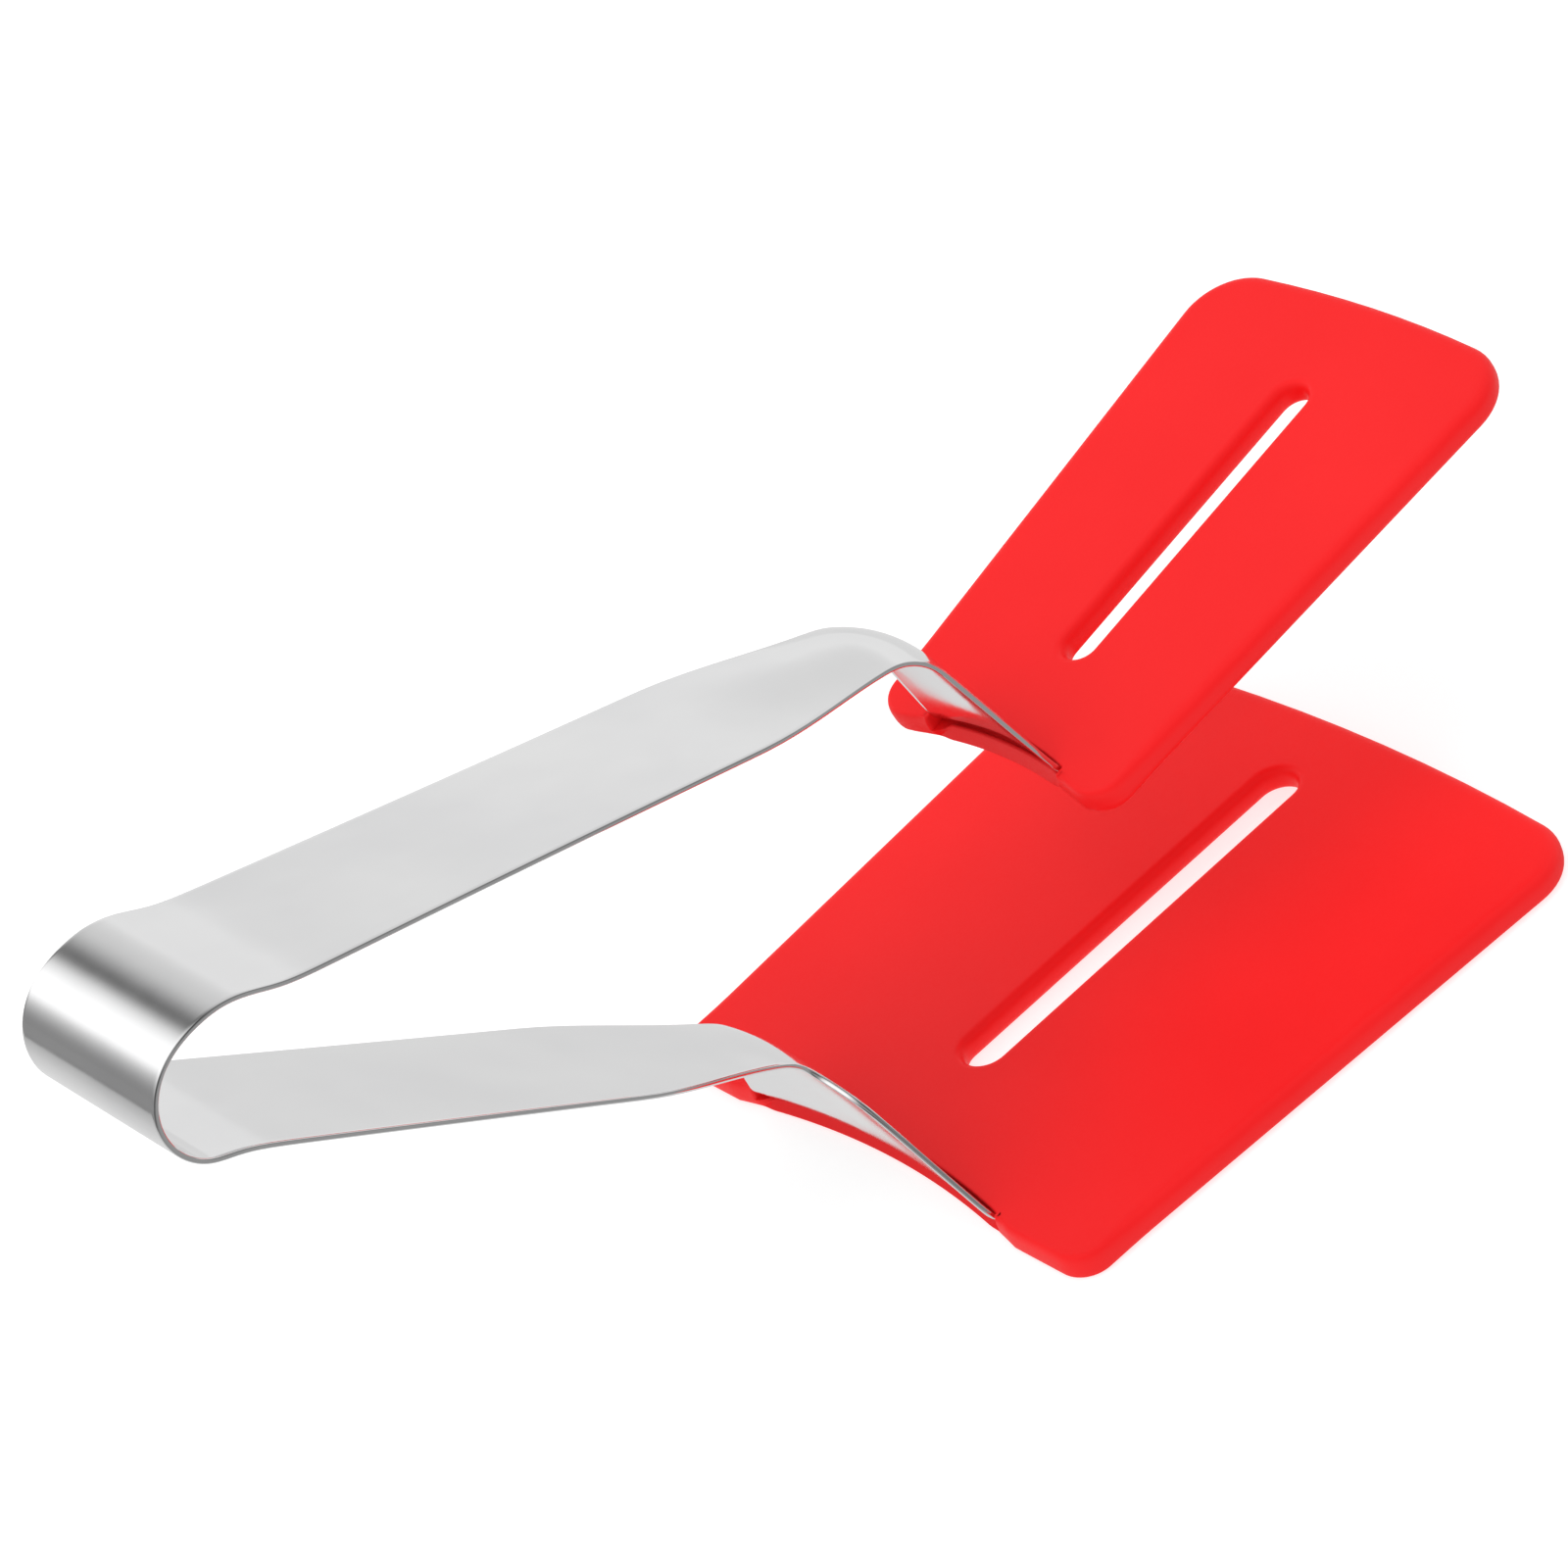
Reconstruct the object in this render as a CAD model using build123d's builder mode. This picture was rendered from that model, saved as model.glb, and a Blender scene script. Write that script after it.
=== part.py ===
from build123d import *
from math import atan2, cos, degrees, radians, sin, sqrt, tan
import os

# Spring loaded kitchen tongs: one bent strip of stainless steel, with a silicone
# sleeve over the blade at each end.
#
# Frame: the origin is the centre of the lower sleeve's flat underside. +X runs along
# the lower jaw towards its tip, +Z is up, and the tongs are symmetric about Y = 0.
# The handle rises backwards from the jaw. Its own plane is drawn from the bow's centre.

# ---- driving dimensions, mm and degrees ----
strip_t = 0.8            # steel thickness
arm_width = 27.6
neck_width = 16.4        # where the arm narrows to its crest

handle_pitch = 26.2      # the handle rises backwards from the lower jaw
bow_radius = 9.2         # centre line of the bow
reverse_radius = 24.0    # slight reverse bend between the bow and each arm
arm_offset = 8.6         # from the bow's centre to each arm's line
arm_splay = 9.4          # each arm from the handle's middle plane

crest_radius = 9.0       # bend from the arm down into the neck
foot_radius = 3.5        # bend from the neck into the blade
neck_length = 30.2
neck_lean = 16.4         # the neck leans this far off the jaw's own normal
joint_run = 1.0          # straight run beside a bend
taper_length = 26.0      # stretch over which the arm narrows

sleeve_t = 4.0
wall_gap = 0.1           # clearance round the blade in its sleeve
blade_inset = 4.5        # from the sleeve's edge to the blade's edge
corner_radius = 9.0      # front corners of the sleeve, and the blade's with its inset
rear_corner = 5.0        # the sleeve's corners beside the mouth
lip_radius = 1.2
slot_liner = 1.6         # silicone between the blade's slot and the open slot

# One entry per jaw. reach: arm line to the sharp crest. bend: neck line to jaw plane.
# rear, front: sleeve widths. length: along its sides. bulge: curve of the front edge.
# mouth: width of the flare where it enters the sleeve. slot: start and end from the rear,
# and width.
upper = dict(side=1, reach=114.5, pitch=36.35, foot=5.7, rear=46.4, front=59.0,
             length=82.2, bulge=2.0, mouth=26.0, slot=(18.0, 68.4, 5.0))
lower = dict(side=-1, reach=95.9, pitch=26.2, foot=2.9, rear=87.5, front=99.9,
             length=92.0, bulge=3.5, mouth=51.0, slot=(20.1, 84.4, 6.5))

# ---- shared planes and points ----
tilt = radians(handle_pitch)
splay = radians(arm_splay)


def arm_point(side, reach):
    """Point on an arm's centre line, in the handle's plane."""
    x = reach * cos(splay) - arm_offset * sin(splay)
    y = reach * sin(splay) + arm_offset * cos(splay)
    return (x, side * y)


def along(point, angle, distance):
    """Point at a distance from another, in the handle's plane."""
    return (point[0] + distance * cos(radians(angle)), point[1] + distance * sin(radians(angle)))


def arm_start():
    """Reach at which the reverse bend ends and the straight arm begins."""
    return sqrt((bow_radius + reverse_radius) ** 2 - (arm_offset + reverse_radius) ** 2)


def neck_angle(jaw):
    """Direction of the neck, down and forward, in the handle's plane."""
    return jaw["pitch"] - 90 + neck_lean


def crest_point(jaw):
    return arm_point(jaw["side"], jaw["reach"])


def foot_point(jaw):
    return along(crest_point(jaw), neck_angle(jaw), neck_length)


def crest_run(jaw):
    """From the sharp crest to the end of its bend, with a short straight run after it."""
    turn = neck_angle(jaw) - jaw["side"] * arm_splay
    return crest_radius * tan(radians(abs(turn)) / 2) + joint_run


def strip_section(start, corner, end, radius):
    """Face of the strip's thickness along two runs joined by a bend, in the handle's plane."""
    first = atan2(corner[1] - start[1], corner[0] - start[0])
    last = atan2(end[1] - corner[1], end[0] - corner[0])
    turn = last - first
    middle = (first + last) / 2
    half = strip_t / 2
    sides = []
    for left in (1, -1):
        reach = left * half / cos(turn / 2)
        sides.append(((start[0] - left * half * sin(first), start[1] + left * half * cos(first)),
                      (corner[0] - reach * sin(middle), corner[1] + reach * cos(middle)),
                      (end[0] - left * half * sin(last), end[1] + left * half * cos(last))))
    bend = half if turn < 0 else -half
    with BuildSketch() as section:
        with BuildLine():
            Polyline(*sides[0], *reversed(sides[1]), close=True)
        make_face()
        for side, side_radius in ((sides[0], radius + bend), (sides[1], radius - bend)):
            fillet(section.vertices().sort_by_distance((*side[1], 0))[0], radius=side_radius)
    return section.sketch


def handle_plane():
    """Plane of the bow's and arms' section, placed so that the lower sleeve is at the origin."""
    rear = along(foot_point(lower), lower["pitch"], -lower["foot"])
    across = rear[0] * cos(tilt) + rear[1] * sin(tilt)
    up = rear[1] * cos(tilt) - rear[0] * sin(tilt)
    origin = (-(lower["length"] + lower["bulge"]) / 2 - across, 0, sleeve_t / 2 - up)
    return Plane(origin=origin, x_dir=(cos(tilt), 0, -sin(tilt)), z_dir=(0, -1, 0))


def plane_at(point, angle):
    """Plane whose X runs along a direction in the handle's plane and whose Y is across."""
    origin = handle.from_local_coords((point[0], point[1], 0))
    turn = radians(angle) - tilt
    return Plane(origin=origin, x_dir=(cos(turn), 0, sin(turn)), z_dir=(-sin(turn), 0, cos(turn)))


def jaw_plane(jaw):
    """Middle plane of a jaw, with its origin at the middle of the sleeve's rear edge."""
    rear = along(foot_point(jaw), jaw["pitch"], -jaw["foot"])
    return plane_at(rear, jaw["pitch"])


def half_width(jaw, x):
    """Half of the sleeve's width at a distance from its rear edge."""
    return (jaw["rear"] + (jaw["front"] - jaw["rear"]) * x / jaw["length"]) / 2


handle = handle_plane()
foot_run = foot_radius * tan(radians(90 - neck_lean) / 2) + joint_run


# ---- sub-parts ----
def make_bow():
    """The bow at the handle's rear end: most of a circle, with a reverse bend at each end."""
    start = arm_start()
    turn = degrees(atan2(start, arm_offset + reverse_radius))
    tangent = 90 + arm_splay - turn
    touch = (bow_radius * cos(radians(tangent)), bow_radius * sin(radians(tangent)))
    with BuildPart() as bow:
        with BuildSketch(handle):
            with BuildLine():
                CenterArc((0, 0), bow_radius, tangent, 360 - 2 * tangent)
                for side in (1, -1):
                    root = (touch[0], side * touch[1])
                    heading = (sin(radians(tangent)), -side * cos(radians(tangent)))
                    TangentArc(root, arm_point(side, start), tangent=heading)
            trace(line_width=strip_t)
        extrude(amount=arm_width / 2, both=True)
    return bow


def make_arm(jaw):
    """The straight arm, narrowing towards the crest, the bend there and the flared neck."""
    side = jaw["side"]
    start = arm_point(side, arm_start())
    narrow = jaw["reach"] - arm_start() - crest_run(jaw)
    end = along(crest_point(jaw), neck_angle(jaw), crest_run(jaw))
    neck = make_neck(jaw, end)
    with BuildPart() as arm:
        with BuildSketch(handle):
            add(strip_section(start, crest_point(jaw), end, crest_radius))
        extrude(amount=arm_width / 2, both=True)
        with BuildSketch(plane_at(start, side * arm_splay)):
            with BuildLine():
                edge = [(narrow, neck_width / 2), (narrow - taper_length, arm_width / 2)]
                Polyline((narrow, 0), (2 * narrow, 0), (2 * narrow, neck_width / 2), edge[0])
                Spline(*edge, tangents=[(-1, 0), (-1, 0)])
                Polyline(edge[1], (-1, arm_width / 2), (-1, 0), (narrow, 0))
            make_face()
            mirror(about=Plane.XZ)
        extrude(amount=2 * neck_length, both=True, mode=Mode.INTERSECT)
        add(neck.part)
    return arm


def make_neck(jaw, start):
    """The neck's straight run, which flares from the crest to the width of the mouth."""
    mouth = jaw["mouth"] / 2
    flare = neck_length - crest_run(jaw) - foot_run
    with BuildPart() as neck:
        with BuildSketch(plane_at(start, neck_angle(jaw)).offset(-strip_t / 2)):
            with BuildLine():
                edge = [(0, neck_width / 2), (flare, mouth)]
                Spline(*edge, tangents=[(1, 0), (flare / 3, mouth - neck_width / 2)])
                Polyline(edge[1], (flare, 0), (0, 0), edge[0])
            make_face()
            mirror(about=Plane.XZ)
        extrude(amount=strip_t)
    return neck


def make_blade(jaw):
    """The bend at the neck's foot, and the flat slotted blade inside the sleeve."""
    foot = foot_point(jaw)
    heel = along(foot, neck_angle(jaw), -foot_run)
    toe = along(foot, jaw["pitch"], foot_run)
    with BuildPart() as blade:
        with BuildSketch(handle):
            add(strip_section(heel, foot, toe, foot_radius))
        extrude(amount=jaw["mouth"] / 2, both=True)
        with BuildSketch(jaw_plane(jaw).offset(-strip_t / 2)):
            add(blade_plan(jaw, jaw["foot"] + foot_run, 0))
        extrude(amount=strip_t)
    return blade


def blade_plan(jaw, start, gap):
    """Plan of the blade and its slot, grown by a gap all round."""
    inset = blade_inset - gap
    mouth = jaw["mouth"] / 2 + gap
    shoulder = jaw["foot"] + foot_run + 1 - gap
    tip = jaw["length"] - inset
    slot_start, slot_end, slot_width = jaw["slot"]
    with BuildSketch() as plan:
        with BuildLine():
            Polyline((start, 0), (start, mouth), (shoulder, mouth),
                     (shoulder, half_width(jaw, shoulder) - inset),
                     (tip, half_width(jaw, tip) - inset), (tip, 0), (start, 0))
        make_face()
        mirror(about=Plane.XZ)
        corners = plan.vertices().filter_by(lambda v: abs(v.Y) > mouth + 0.5)
        fillet(corners, radius=corner_radius - blade_inset)
        with Locations(((slot_start + slot_end) / 2, 0)):
            SlotOverall(slot_end - slot_start + 2 * (slot_liner - gap),
                        slot_width + 2 * (slot_liner - gap), mode=Mode.SUBTRACT)
    return plan.sketch


def sleeve_plan(jaw):
    """Outline of the sleeve: straight sides that spread to a curved front edge."""
    length, rear, front = jaw["length"], jaw["rear"] / 2, jaw["front"] / 2
    with BuildSketch() as plan:
        with BuildLine():
            Polyline((length, -front), (0, -rear), (0, rear), (length, front))
            ThreePointArc((length, front), (length + jaw["bulge"], 0), (length, -front))
        make_face()
        fillet(plan.vertices().filter_by(lambda v: v.X > 1), radius=corner_radius)
        fillet(plan.vertices().filter_by(lambda v: v.X < 1), radius=rear_corner)
    return plan.sketch


def make_sleeve(jaw):
    """The silicone sleeve, with a pocket for the blade, a mouth for the neck and a slot."""
    middle = jaw_plane(jaw)
    pocket = middle.offset(-strip_t / 2 - wall_gap)
    mouth_depth = jaw["foot"] + foot_run
    slot_start, slot_end, slot_width = jaw["slot"]
    with BuildPart() as sleeve:
        with BuildSketch(middle.offset(-sleeve_t / 2)):
            add(sleeve_plan(jaw))
        extrude(amount=sleeve_t)
        walls = sleeve.faces().sort_by(SortBy.AREA)[-2:]
        fillet(walls[0].edges() + walls[1].edges(), radius=lip_radius)
        with BuildSketch(pocket):
            add(blade_plan(jaw, mouth_depth - 1, wall_gap))
        extrude(amount=strip_t + 2 * wall_gap, mode=Mode.SUBTRACT)
        with BuildSketch(pocket):
            with Locations((mouth_depth / 2, 0)):
                Rectangle(mouth_depth + 1, jaw["mouth"] + 4 * wall_gap)
        extrude(amount=sleeve_t, mode=Mode.SUBTRACT)
        with BuildSketch(middle):
            with Locations(((slot_start + slot_end) / 2, 0)):
                SlotOverall(slot_end - slot_start, slot_width)
        extrude(amount=sleeve_t, both=True, mode=Mode.SUBTRACT)
    return sleeve


# ---- build and write ----
os.makedirs("parts", exist_ok=True)

spring_bow = make_bow()
spring_bow.part.label = "spring_bow"
export_step(spring_bow.part, "parts/spring_bow.step")

upper_arm = make_arm(upper)
upper_arm.part.label = "upper_arm"
export_step(upper_arm.part, "parts/upper_arm.step")

lower_arm = make_arm(lower)
lower_arm.part.label = "lower_arm"
export_step(lower_arm.part, "parts/lower_arm.step")

upper_blade = make_blade(upper)
upper_blade.part.label = "upper_blade"
export_step(upper_blade.part, "parts/upper_blade.step")

lower_blade = make_blade(lower)
lower_blade.part.label = "lower_blade"
export_step(lower_blade.part, "parts/lower_blade.step")

upper_sleeve = make_sleeve(upper)
upper_sleeve.part.label = "upper_sleeve"
export_step(upper_sleeve.part, "parts/upper_sleeve.step")

lower_sleeve = make_sleeve(lower)
lower_sleeve.part.label = "lower_sleeve"
export_step(lower_sleeve.part, "parts/lower_sleeve.step")
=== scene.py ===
import bmesh
import bpy
import numpy as np
from math import atan2, cos, degrees, pi, radians, sin, sqrt, tan
from mathutils import Matrix, Vector
from mathutils.geometry import tessellate_polygon


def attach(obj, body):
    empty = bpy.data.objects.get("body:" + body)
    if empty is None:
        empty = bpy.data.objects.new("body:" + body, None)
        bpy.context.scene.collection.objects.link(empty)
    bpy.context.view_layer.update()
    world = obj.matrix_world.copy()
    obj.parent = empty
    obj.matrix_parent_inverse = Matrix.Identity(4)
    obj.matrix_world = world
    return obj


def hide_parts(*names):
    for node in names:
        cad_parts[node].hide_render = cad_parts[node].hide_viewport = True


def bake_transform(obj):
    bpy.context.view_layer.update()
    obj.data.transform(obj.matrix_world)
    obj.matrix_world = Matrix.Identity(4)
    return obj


# Spring loaded kitchen tongs: one polished steel strip that is bent into a bow, two
# arms and two slotted blades, and a red silicone sleeve over each blade.
#
# Sizes are in mm and degrees, as in the CAD part, and meshes are written in metres.

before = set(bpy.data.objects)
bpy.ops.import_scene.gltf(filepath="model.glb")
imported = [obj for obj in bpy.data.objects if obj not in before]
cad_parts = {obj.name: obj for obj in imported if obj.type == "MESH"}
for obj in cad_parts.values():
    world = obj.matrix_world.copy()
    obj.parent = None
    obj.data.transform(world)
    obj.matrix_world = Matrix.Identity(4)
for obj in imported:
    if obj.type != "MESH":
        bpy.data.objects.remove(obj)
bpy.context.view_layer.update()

MM = 0.001

# ---- driving dimensions, the same as the CAD part's ----
strip_t = 0.8
neck_width = 16.4
handle_pitch = 26.2
bow_radius = 9.2
reverse_radius = 24.0
arm_offset = 8.6
arm_splay = 9.4
foot_radius = 3.5
neck_length = 30.2
neck_lean = 16.4
sleeve_t = 4.0
wall_gap = 0.1
blade_inset = 4.5
corner_radius = 9.0
rear_corner = 5.0
slot_liner = 1.6

upper = dict(name="upper", side=1, reach=114.5, pitch=36.35, foot=5.7, rear=46.4, front=59.0,
             length=82.2, bulge=2.0, mouth=26.0, slot=(18.0, 68.4, 5.0))
lower = dict(name="lower", side=-1, reach=95.9, pitch=26.2, foot=2.9, rear=87.5, front=99.9,
             length=92.0, bulge=3.5, mouth=51.0, slot=(20.1, 84.4, 6.5))

# ---- looks ----
# step: the foot stands this far off its CAD place. sweep: its ends stand this far behind
# its middle. hollow: depth and half width of the hollow in the sleeve's rear edge.
# lip_lean, lip_top: lean and height of the lower lip. crown: height of the crest's
# middle over its edges. shift: of the crest, forward and outward. burst: share of the
# flare that comes straight after it.
upper.update(step=-1.5, sweep=1.6, hollow=(2.2, 18.0), lip_lean=1.0, lip_top=0.0, crown=1.4,
             shift=(0.3, 0.0), burst=0.0)
lower.update(step=1.2, sweep=2.6, hollow=(3.5, 29.5), lip_lean=1.0, lip_top=-0.42, crown=0.7,
             shift=(0.0, 1.0), burst=0.37)
bow_width = 29.8         # the strip is widest at the bow
slim_width = 26.3        # and slims towards the crest, before it narrows
slim_reach = 85.0
taper_run = 30.0         # the arm narrows over this run, up to the middle of its crest
crest_bend = 11.0
foot_bend = 2.0          # inner shape of the bend at the mouth, before it is softened
hump = (1.5, 2.2, 5.5)   # height, place and run of the hump where the bow joins the upper arm
sag = (0.6, -4, 7)       # depth, place and run of the bow's sag, which fades towards the arms
shoulder_run = 4.6       # the mouth keeps its width this far past the foot's bend
sweep_end = 2            # the blade is flat this far past the foot
burst_run = 0.04         # share of the neck over which the burst of the flare happens
blade_corner = 6.0       # the blade's rounded front corners
edge_round = 0.3         # rounding of the strip's cut edges
edge_strip = 0.4         # narrow flat band beside it
rod_reach = 3.0          # the rod that cuts a blade's slot stands out this far
bend_softness = 1.2      # how gradually a bend starts and ends
rim_reach = 2.1          # the sleeve's face starts to curve this far from its edge
rear_rim_reach = 0.9     # the same, along its rear edge
rim_change = (1, 12)     # start and run of the change from one to the other
rim_power = 2.7          # 2 is round, more is squarer
slot_reach = 1.3
flat_ring = 0.35         # narrow flat band inside every rounding
mouth_play = 0.25        # between the steel's edge and the mouth's side
mouth_corner = 0.5
upper_lip_gap = 0.2      # from the foot's line to the upper lip
lip_undercut = 1.9       # the upper lip follows the foot's bend
undercut_top = 0.6       # up to this far below the sleeve's top
lip_run = 0.8            # from the lower lip's top edge to the mouth's floor
lip_fade = 3             # the lower lip turns into the rim over this width
undercut_fade = 1.5      # the undercut does so over this one
under_round, lip_round, back_round = 0.45, 0.3, 0.4     # roundings of the lower lip
upper_lip_round = 0.25
pocket_half = strip_t / 2 + wall_gap
foot_run = foot_radius * tan(radians(90 - neck_lean) / 2)
pocket_start = foot_run + 2     # from the foot's line to the pocket's rear end

tilt = radians(handle_pitch)
splay = radians(arm_splay)


# ---- geometry shared with the CAD part ----
def arm_point(side, reach):
    """Point on an arm's centre line, in the handle's plane."""
    x = reach * cos(splay) - arm_offset * sin(splay)
    y = reach * sin(splay) + arm_offset * cos(splay)
    return np.array((x, side * y))


def along(point, angle, distance):
    """Point at a distance from another, in the handle's plane."""
    return point + distance * np.array((cos(radians(angle)), sin(radians(angle))))


def neck_angle(jaw):
    return jaw["pitch"] - 90 + neck_lean


def crest_point(jaw):
    return arm_point(jaw["side"], jaw["reach"])


def foot_point(jaw):
    return along(crest_point(jaw), neck_angle(jaw), neck_length)


def jaw_rear(jaw):
    """Middle of the sleeve's rear edge, in the handle's plane."""
    return along(foot_point(jaw), jaw["pitch"], -jaw["foot"])


def handle_origin():
    """The bow's centre in the row frame, with the lower sleeve's underside at the origin."""
    rear = jaw_rear(lower)
    across = rear[0] * cos(tilt) + rear[1] * sin(tilt)
    up = rear[1] * cos(tilt) - rear[0] * sin(tilt)
    return np.array((-(lower["length"] + lower["bulge"]) / 2 - across, 0, sleeve_t / 2 - up))


def to_row(points):
    """Points of the handle's plane and their Y, as points of the row frame."""
    points = np.asarray(points, float)
    forward = np.array((cos(tilt), 0, -sin(tilt)))
    across = np.array((0, 1, 0))
    opening = np.array((sin(tilt), 0, cos(tilt)))
    turned = (points[..., :1] * forward + points[..., 1:2] * across + points[..., 2:] * opening)
    return turned + handle_origin()


def jaw_to_row(jaw, points):
    """Points of a jaw's own frame, X from its rear edge and Z off its middle plane."""
    points = np.asarray(points, float)
    rear = jaw_rear(jaw)
    turn = radians(jaw["pitch"])
    x = rear[0] + points[..., 0] * cos(turn) - points[..., 2] * sin(turn)
    z = rear[1] + points[..., 0] * sin(turn) + points[..., 2] * cos(turn)
    return to_row(np.stack((x, points[..., 1], z), axis=-1))


def half_width(jaw, x):
    """Half of the sleeve's width at a distance from its rear edge."""
    return (jaw["rear"] + (jaw["front"] - jaw["rear"]) * x / jaw["length"]) / 2


# ---- mesh helpers ----
WELD = 1e-6              # metres
CREASE = 50              # edges sharper than this stay sharp


def add_object(name, data):
    item = bpy.data.objects.new(name, data)
    bpy.context.scene.collection.objects.link(item)
    return item


def finish_mesh(mesh):
    """Welds a mesh, turns its faces outward and smooths it between its sharp edges."""
    shape = bmesh.new()
    shape.from_mesh(mesh)
    bmesh.ops.remove_doubles(shape, verts=shape.verts, dist=WELD)
    bmesh.ops.recalc_face_normals(shape, faces=shape.faces)
    shape.to_mesh(mesh)
    shape.free()
    mesh.shade_smooth()
    mesh.set_sharp_from_angle(angle=radians(CREASE))


def at_height(plan, z):
    """A plan's points, all at one height."""
    return np.column_stack((plan, np.full(len(plan), z)))


def sheet_faces(first, rows, columns, closed=False):
    """Quads of a grid of vertices that starts at an index. Closed rows are rings."""
    faces = []
    for i in range(rows - 1):
        row, after = first + i * columns, first + (i + 1) * columns
        for j in range(columns if closed else columns - 1):
            k = (j + 1) % columns
            faces.append((row + j, after + j, after + k, row + k))
    return faces


def welded(name, patches, fills):
    """A closed mesh of grids and flat filled loops whose borders coincide."""
    points, faces = [], []
    for patch, closed in patches:
        faces += sheet_faces(len(points), *patch.shape[:2], closed)
        points += [tuple(p) for p in patch.reshape(-1, 3)]
    for loops, plans in fills:
        flat = [[Vector((*p, 0)) for p in plan] for plan in plans]
        first = len(points)
        faces += [tuple(first + i for i in triangle) for triangle in tessellate_polygon(flat)]
        for loop in loops:
            points += [tuple(p) for p in loop]
    mesh = bpy.data.meshes.new(name)
    mesh.from_pydata(points, [], faces)
    finish_mesh(mesh)
    return add_object(name, mesh)


# ---- the steel strip ----
def fillet_arc(before, corner, after, radius, step):
    """Points of the arc that rounds a corner."""
    into = (corner - before) / np.linalg.norm(corner - before)
    out = (after - corner) / np.linalg.norm(after - corner)
    turn = atan2(into[0] * out[1] - into[1] * out[0], into @ out)
    side = 1 if turn > 0 else -1
    start = corner - into * radius * tan(abs(turn) / 2)
    normal = side * np.array((-into[1], into[0]))
    centre = start + radius * normal
    count = max(4, int(radius * abs(turn) / step))
    angles = turn * np.linspace(0, 1, count)
    spoke = -normal
    return [centre + radius * np.array((spoke[0] * cos(a) - spoke[1] * sin(a),
                                        spoke[0] * sin(a) + spoke[1] * cos(a))) for a in angles]


def straight(start, end, step):
    count = max(2, int(np.linalg.norm(end - start) / step))
    return [start + (end - start) * t for t in np.linspace(0, 1, count)]


def ease(t):
    t = np.clip(t, 0, 1)
    return t * t * (3 - 2 * t)


def shifted(jaw):
    """How far the crest stands off the arm's sharp corner, in the handle's plane."""
    forward, outward = jaw["shift"]
    side = jaw["side"]
    return np.array((forward * cos(splay) - outward * sin(splay),
                     side * (forward * sin(splay) + outward * cos(splay))))


def arm_half_width(reach):
    """Half of the strip's width beside the bow and along an arm."""
    share = np.clip(1 - reach / slim_reach, 0, 1) ** 1.5
    return (slim_width + (bow_width - slim_width) * share) / 2


def half_strip(jaw, step=0.25):
    """Centre line, half width, dish and sweep from a blade's tip to the bow."""
    shoulder = jaw["foot"] + foot_run + shoulder_run
    tip_x = jaw["length"] - blade_inset
    tip = along(jaw_rear(jaw), jaw["pitch"], tip_x)
    corner = crest_point(jaw) + shifted(jaw)
    bottom = along(foot_point(jaw), jaw["pitch"], jaw["step"])
    start = arm_point(jaw["side"], sqrt((bow_radius + reverse_radius) ** 2
                                        - (arm_offset + reverse_radius) ** 2))
    foot = fillet_arc(tip, bottom, corner, foot_bend, step)
    crest = fillet_arc(bottom, corner, start, crest_bend, step)
    line, width, dish, sweep = [], [], [], []

    blade = straight(tip, foot[0], step)
    for point in blade:
        x = tip_x - np.linalg.norm(point - tip)
        open_width = half_width(jaw, x) - blade_inset
        width.append(open_width if x > shoulder else jaw["mouth"] / 2)
        dish.append(0)
        fade = (shoulder - x) / (shoulder - jaw["foot"] - sweep_end)
        sweep.append(jaw["sweep"] * ease(fade))
    line += blade

    line += foot
    width += [jaw["mouth"] / 2] * len(foot)
    dish += [0] * len(foot)
    sweep += [jaw["sweep"]] * len(foot)

    neck = straight(foot[-1], crest[0], step)
    for t in np.linspace(1, 0, len(neck)):
        flare = jaw["burst"] * (1 - np.exp(-t / burst_run)) + (1 - jaw["burst"]) * t
        width.append(neck_width / 2 + (jaw["mouth"] - neck_width) / 2 * flare)
        dish.append(jaw["side"] * jaw["crown"] * ease(1 - t))
        sweep.append(jaw["sweep"] * t)
    line += neck

    arm = crest + straight(crest[-1], start, step)
    run = 0
    middle = np.linalg.norm(np.diff(crest, axis=0), axis=1).sum() / 2
    for point, before in zip(arm, arm[:1] + arm):
        run += np.linalg.norm(point - before)
        full = arm_half_width(jaw["reach"] - run)
        width.append(neck_width / 2 + (full - neck_width / 2) * ease((run - middle) / taper_run))
        dish.append(jaw["side"] * jaw["crown"] * ease(1 - (run - middle) / taper_run))
    line += arm
    sweep += [0] * len(arm)

    turn = degrees(atan2(np.linalg.norm(start - arm_point(jaw["side"], 0)),
                         arm_offset + reverse_radius))
    centre = start + reverse_radius * np.array((-sin(splay), cos(splay) * jaw["side"]))
    for a in np.linspace(0, turn, int(reverse_radius * radians(turn) / step)):
        heading = radians(270 + arm_splay - a)
        line.append(centre + reverse_radius * np.array((cos(heading), jaw["side"] * sin(heading))))
        width.append(arm_half_width(0))
        dish.append(0)
        sweep.append(0)
    pull = np.outer(sweep, (cos(radians(jaw["pitch"])), sin(radians(jaw["pitch"]))))
    values = np.column_stack((line, width, dish, pull))
    return values, 90 + arm_splay - turn


def softened(values, spacing):
    """Values along the strip, smoothed over the bend softness."""
    reach = int(4 * bend_softness / spacing)
    kernel = np.exp(-0.5 * (np.arange(-reach, reach + 1) * spacing / bend_softness) ** 2)
    padded = np.pad(values, reach, mode="reflect", reflect_type="odd")
    return np.convolve(padded, kernel / kernel.sum(), mode="valid")


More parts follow.
